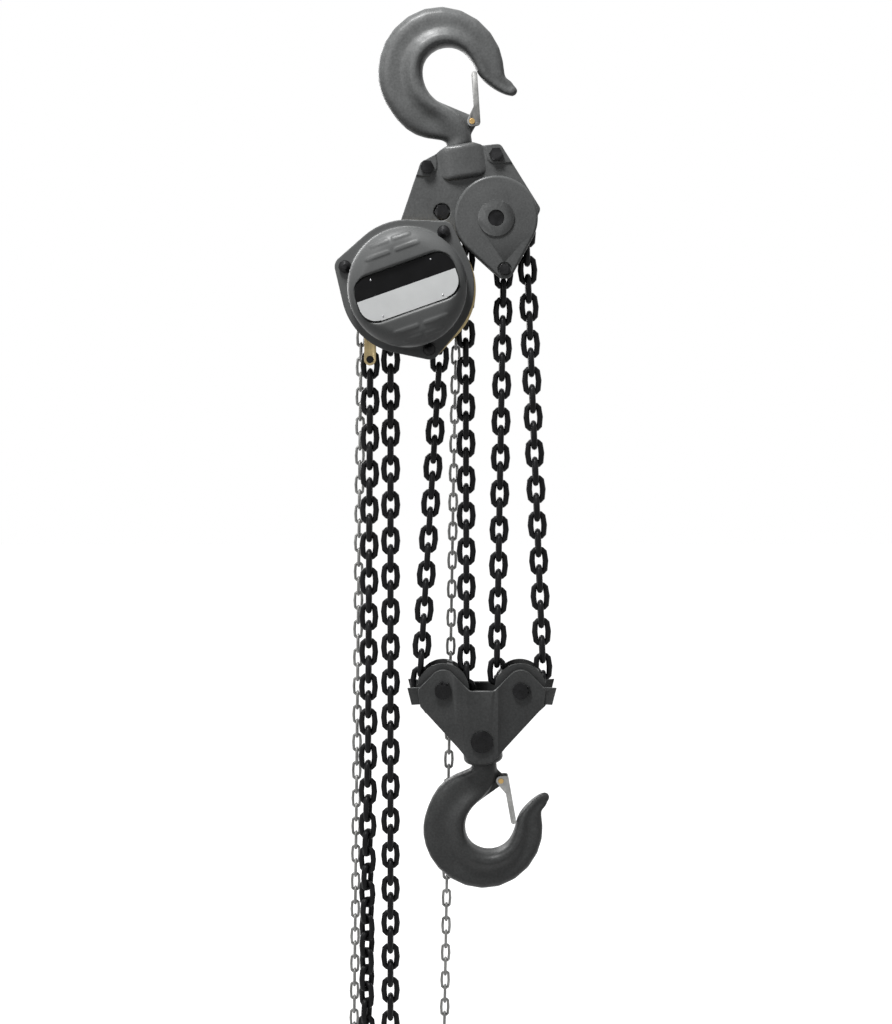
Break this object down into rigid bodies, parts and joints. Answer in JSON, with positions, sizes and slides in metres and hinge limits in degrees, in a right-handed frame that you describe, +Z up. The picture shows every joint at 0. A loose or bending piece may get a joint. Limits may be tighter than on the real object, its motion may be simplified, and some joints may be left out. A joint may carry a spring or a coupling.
{
  "type": "hand chain hoist",
  "caption": "Hand chain hoist with top hook, gear cover, idler, hand chain, load chain reeved to a lower block, and load hook.",
  "frame": {"origin": "saddle of the top hook, where the hoist hangs from its carrier, in the middle plane of the load chain", "axes": "+Z up along the hanging hoist, +X to the right as seen from the gear cover, +Y from the gear cover at the front to the hand wheel at the back"},
  "size_m": [0.3628, 0.2252, 1.8831],
  "materials": {
    "dark_paint": "dark grey textured paint over castings and forgings",
    "black_fasteners": "black oxide, satin",
    "zinc_yellow": "yellow passivated zinc plate on steel",
    "black_chain": "blackened alloy chain, oiled",
    "bright_zinc": "bright zinc plate",
    "brass": "plain brass or bronze",
    "data_plate": "thin printed sheet, upper half black and lower half bare",
    "cast_wheel": "as cast, pockets rubbed by the chain",
    "machined_steel": "machined, lightly oiled",
    "spring_steel": "drawn wire",
    "friction_lining": "matt moulded friction lining"
  },
  "bodies": {
    "top_hook": {"top_hook": "dark_paint", "top_hook_nut": "black_fasteners", "top_hook_bearing": "machined_steel", "top_latch_pin": "brass", "top_latch_spring": "spring_steel"},
    "top_latch": {"top_latch": "bright_zinc"},
    "load_sheave": {"load_sheave": "cast_wheel", "load_gear": "machined_steel"},
    "right_intermediate_gear": {"right_intermediate_gear": "machined_steel"},
    "left_intermediate_gear": {"left_intermediate_gear": "machined_steel"},
    "hand_wheel": {"hand_wheel": "dark_paint", "hand_wheel_nut": "black_fasteners", "pinion_shaft": "machined_steel", "brake_hub": "machined_steel"},
    "pawl": {"pawl": "machined_steel"},
    "idler": {"idler_sheave": "cast_wheel"},
    "block": {"block_front_plate": "dark_paint", "block_rear_plate": "dark_paint", "block_sheave_pins": "black_fasteners", "block_bushes": "brass", "lower_load_chain": "black_chain"},
    "left_block_sheave": {"left_block_sheave": "cast_wheel"},
    "right_block_sheave": {"right_block_sheave": "cast_wheel"},
    "yoke": {"hook_yoke": "dark_paint"},
    "bottom_hook": {"bottom_hook": "dark_paint", "bottom_hook_nut": "black_fasteners", "bottom_hook_bearing": "machined_steel", "bottom_latch_pin": "brass", "bottom_latch_spring": "spring_steel"},
    "bottom_latch": {"bottom_latch": "bright_zinc"},
    "frame": {"chain_anchor_pin": "black_fasteners", "chain_guide": "zinc_yellow", "cover_cap_nuts": "black_fasteners", "data_plate": "data_plate", "frame_bolts": "black_fasteners", "frame_cross_bolt": "black_fasteners", "friction_discs": "friction_lining", "front_frame_plate": "dark_paint", "front_idler_cheek": "dark_paint", "gear_cover": "dark_paint", "gear_side_plate": "zinc_yellow", "hand_chain": "bright_zinc", "hand_wheel_cover": "dark_paint", "hanging_load_chain": "black_chain", "hook_crosshead": "black_fasteners", "idler_bush": "brass", "idler_pin": "black_fasteners", "load_sheave_bearings": "machined_steel", "pawl_pin": "machined_steel", "pawl_spring": "spring_steel", "ratchet_disc": "machined_steel", "rear_frame_plate": "dark_paint", "rear_idler_cheek": "dark_paint", "spacer_sleeves": "black_fasteners", "stay_bolts": "black_fasteners", "tail_anchor": "zinc_yellow", "tail_anchor_pins": "black_fasteners", "upper_load_chain": "black_chain", "wheel_side_plate": "zinc_yellow"}
  },
  "joints": [
    {"name": "top_hook_swivel", "type": "hinge", "parent": "top_hook", "child": "frame", "pos_m": [0, 0, -0.041], "axis": [0.1564, 0, -0.9877], "continuous": true},
    {"name": "top_latch_hinge", "type": "hinge", "parent": "top_hook", "child": "top_latch", "pos_m": [0.03863, 0, -0.1174], "axis": [0, -1, 0], "range_deg": [0, 35], "stiffness_Nm_per_rad": 0.3, "springref_deg": -17.19},
    {"name": "hand_wheel_spin", "type": "hinge", "parent": "frame", "child": "hand_wheel", "pos_m": [-0.065, 0.086, -0.382], "axis": [0, -1, 0], "range_deg": [0, 8640], "deforming": ["hand_chain"]},
    {"name": "right_intermediate_spin", "type": "hinge", "parent": "frame", "child": "right_intermediate_gear", "pos_m": [-0.0197, -0.06, -0.36613], "axis": [0, -1, 0], "range_deg": [-2881, 1]},
    {"name": "left_intermediate_spin", "type": "hinge", "parent": "frame", "child": "left_intermediate_gear", "pos_m": [-0.1103, -0.06, -0.39787], "axis": [0, -1, 0], "range_deg": [-2881, 1]},
    {"name": "load_sheave_spin", "type": "hinge", "parent": "frame", "child": "load_sheave", "pos_m": [-0.065, 0, -0.382], "axis": [0, -1, 0], "range_deg": [-1, 961]},
    {"name": "idler_spin", "type": "hinge", "parent": "frame", "child": "idler", "pos_m": [0.077, 0, -0.272], "axis": [0, -1, 0], "range_deg": [-1, 577]},
    {"name": "pawl_hinge", "type": "hinge", "parent": "frame", "child": "pawl", "pos_m": [-0.09704, 0.058, -0.33978], "axis": [0, -1, 0], "range_deg": [0, 15], "stiffness_Nm_per_rad": 0.05, "springref_deg": -22.92},
    {"name": "block_lift", "type": "slide", "parent": "frame", "child": "block", "axis": [0, 0, 1], "range_m": [-0.001, 0.241], "deforming": ["upper_load_chain", "lower_load_chain", "hanging_load_chain"]},
    {"name": "left_block_sheave_spin", "type": "hinge", "parent": "block", "child": "left_block_sheave", "pos_m": [-0.0081, 0, -1.048], "axis": [0, -1, 0], "range_deg": [-1081, 1]},
    {"name": "right_block_sheave_spin", "type": "hinge", "parent": "block", "child": "right_block_sheave", "pos_m": [0.1211, 0, -1.048], "axis": [0, -1, 0], "range_deg": [-1, 361]},
    {"name": "yoke_tilt", "type": "hinge", "parent": "block", "child": "yoke", "pos_m": [0.0565, 0, -1.1335], "axis": [0, -1, 0], "range_deg": [-15, 5]},
    {"name": "bottom_hook_swivel", "type": "hinge", "parent": "yoke", "child": "bottom_hook", "pos_m": [0.0565, 0, -1.1335], "axis": [-0.0872, 0, 0.9962], "continuous": true},
    {"name": "bottom_latch_hinge", "type": "hinge", "parent": "bottom_hook", "child": "bottom_latch", "pos_m": [0.08936, 0, -1.20842], "axis": [0, 1, 0], "range_deg": [0, 35], "stiffness_Nm_per_rad": 0.3, "springref_deg": -17.19}
  ],
  "couplings": [
    {"joint": "right_intermediate_spin", "follows": "hand_wheel_spin", "ratio": -0.33333},
    {"joint": "left_intermediate_spin", "follows": "hand_wheel_spin", "ratio": -0.33333},
    {"joint": "load_sheave_spin", "follows": "hand_wheel_spin", "ratio": 0.11111},
    {"joint": "idler_spin", "follows": "hand_wheel_spin", "ratio": 0.066667},
    {"joint": "block_lift", "follows": "hand_wheel_spin", "m_per_rad": 0.0015915},
    {"joint": "left_block_sheave_spin", "follows": "hand_wheel_spin", "ratio": -0.125},
    {"joint": "right_block_sheave_spin", "follows": "hand_wheel_spin", "ratio": 0.041667}
  ]
}
